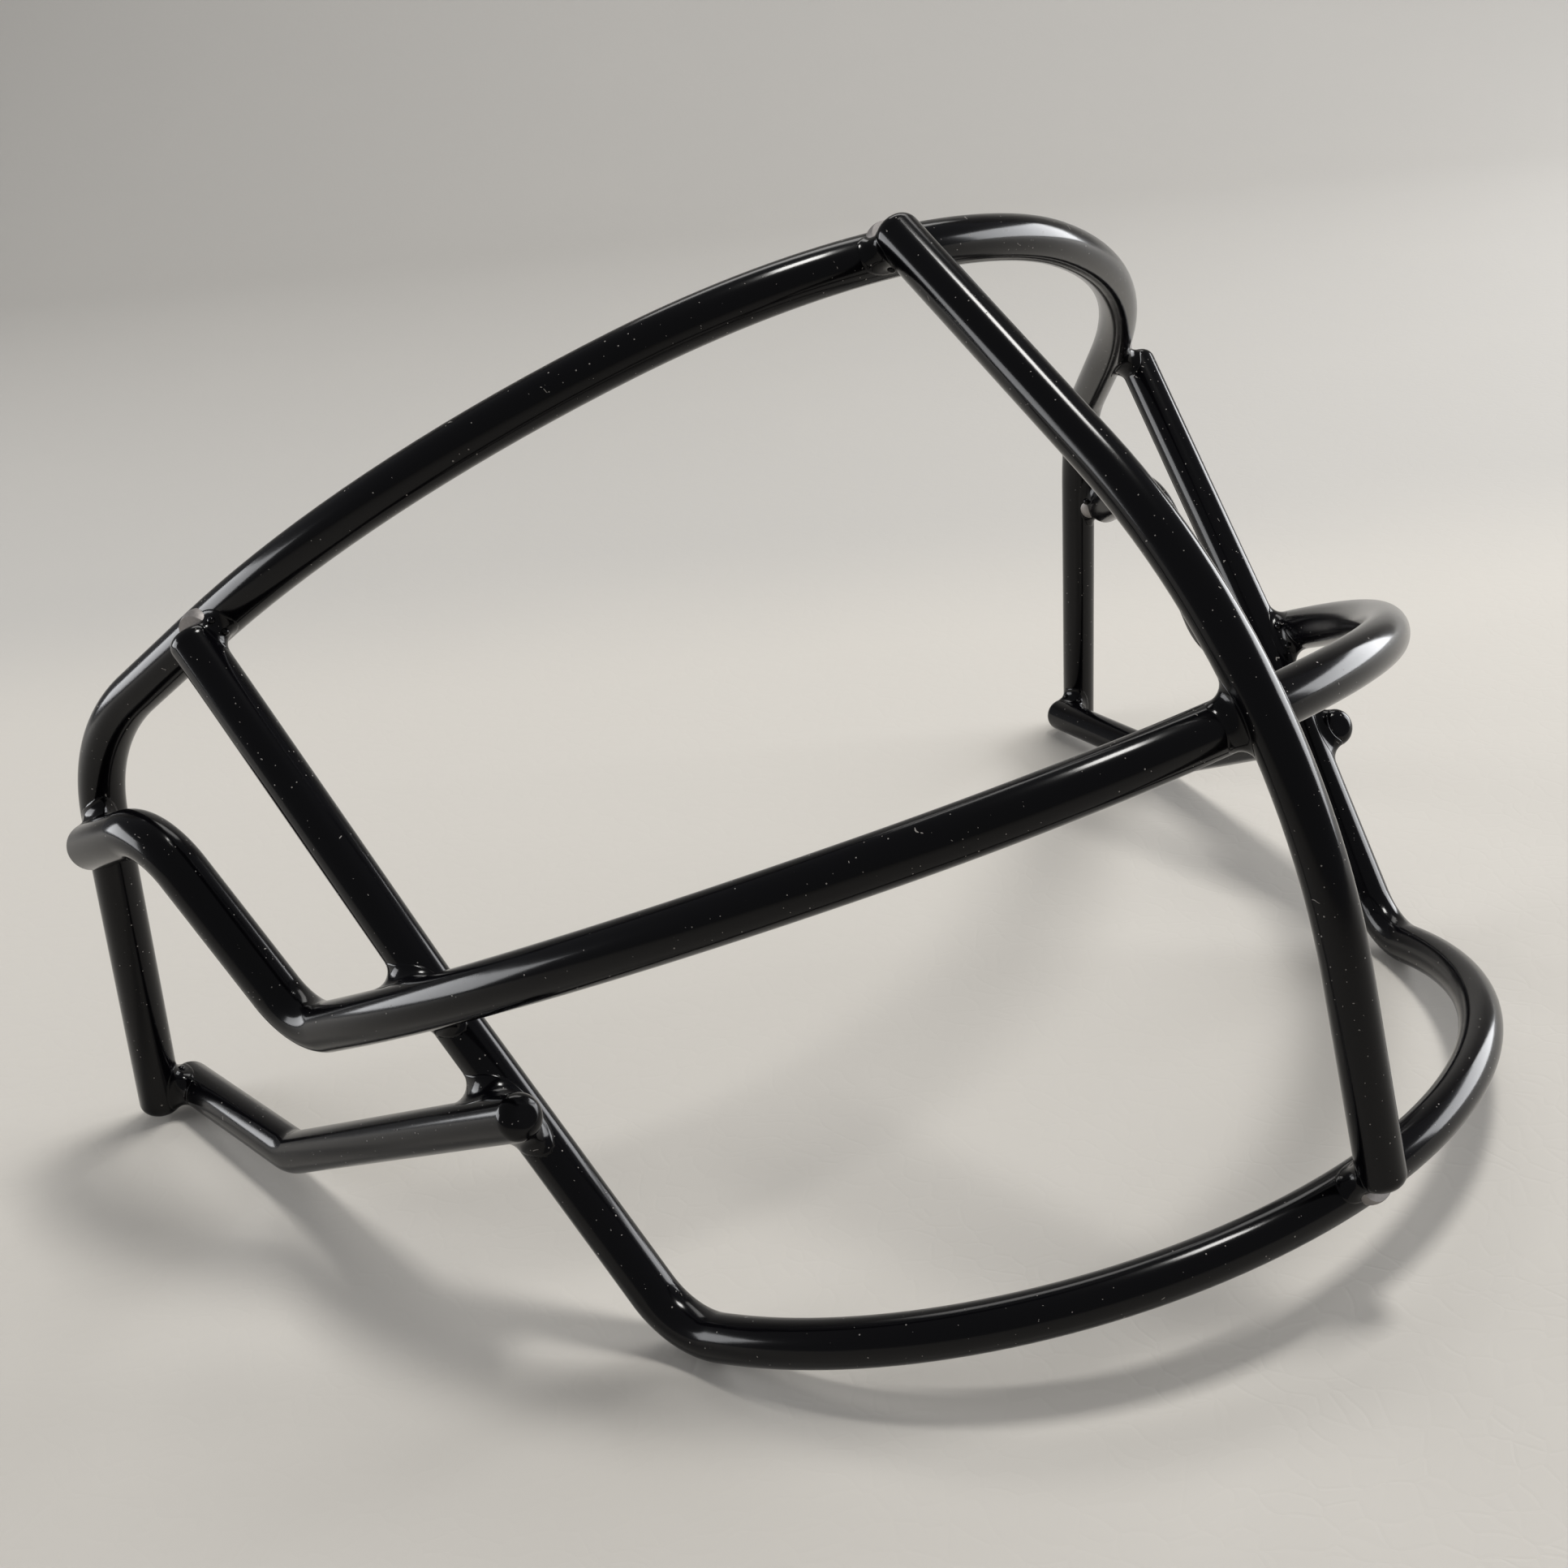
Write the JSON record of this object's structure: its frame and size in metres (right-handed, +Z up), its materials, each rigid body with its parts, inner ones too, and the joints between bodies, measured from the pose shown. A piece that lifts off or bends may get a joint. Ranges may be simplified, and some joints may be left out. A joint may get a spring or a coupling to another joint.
{
  "type": "helmet face guard",
  "caption": "Welded wire face guard for a sports helmet: arched brow, nose and chin bars, an upright in the middle and short jaw bars, dip-coated in glossy black.",
  "frame": {"origin": "on the surface the guard rests on, under the middle of its box", "axes": "+X towards the wearer's left, -Y the way the face looks, +Z up"},
  "size_m": [0.2427, 0.2078, 0.1548],
  "materials": {
    "dip_coating": "thick glossy black dipped coating, smooth and slightly rounded at joints",
    "steel_wire": "drawn carbon steel wire under the coating",
    "weld_bead": "welded bead under the coating"
  },
  "bodies": {
    "root": {"upper_bar_core": "steel_wire", "middle_bar_core": "steel_wire", "lower_bar_core": "steel_wire", "center_bar_core": "steel_wire", "right_jaw_bar_core": "steel_wire", "left_jaw_bar_core": "steel_wire", "upper_bar_coat": "dip_coating", "middle_bar_coat": "dip_coating", "lower_bar_coat": "dip_coating", "center_bar_coat": "dip_coating", "right_jaw_bar_coat": "dip_coating", "left_jaw_bar_coat": "dip_coating", "weld_center_on_upper": "weld_bead", "weld_center_on_middle": "weld_bead", "weld_center_on_lower": "weld_bead", "weld_right_riser_on_upper": "weld_bead", "weld_right_middle_on_riser": "weld_bead", "weld_right_hook_on_leg": "weld_bead", "weld_right_jaw_on_riser": "weld_bead", "weld_right_leg_on_jaw": "weld_bead", "weld_left_riser_on_upper": "weld_bead", "weld_left_middle_on_riser": "weld_bead", "weld_left_hook_on_leg": "weld_bead", "weld_left_jaw_on_riser": "weld_bead", "weld_left_leg_on_jaw": "weld_bead"}
  },
  "joints": []
}
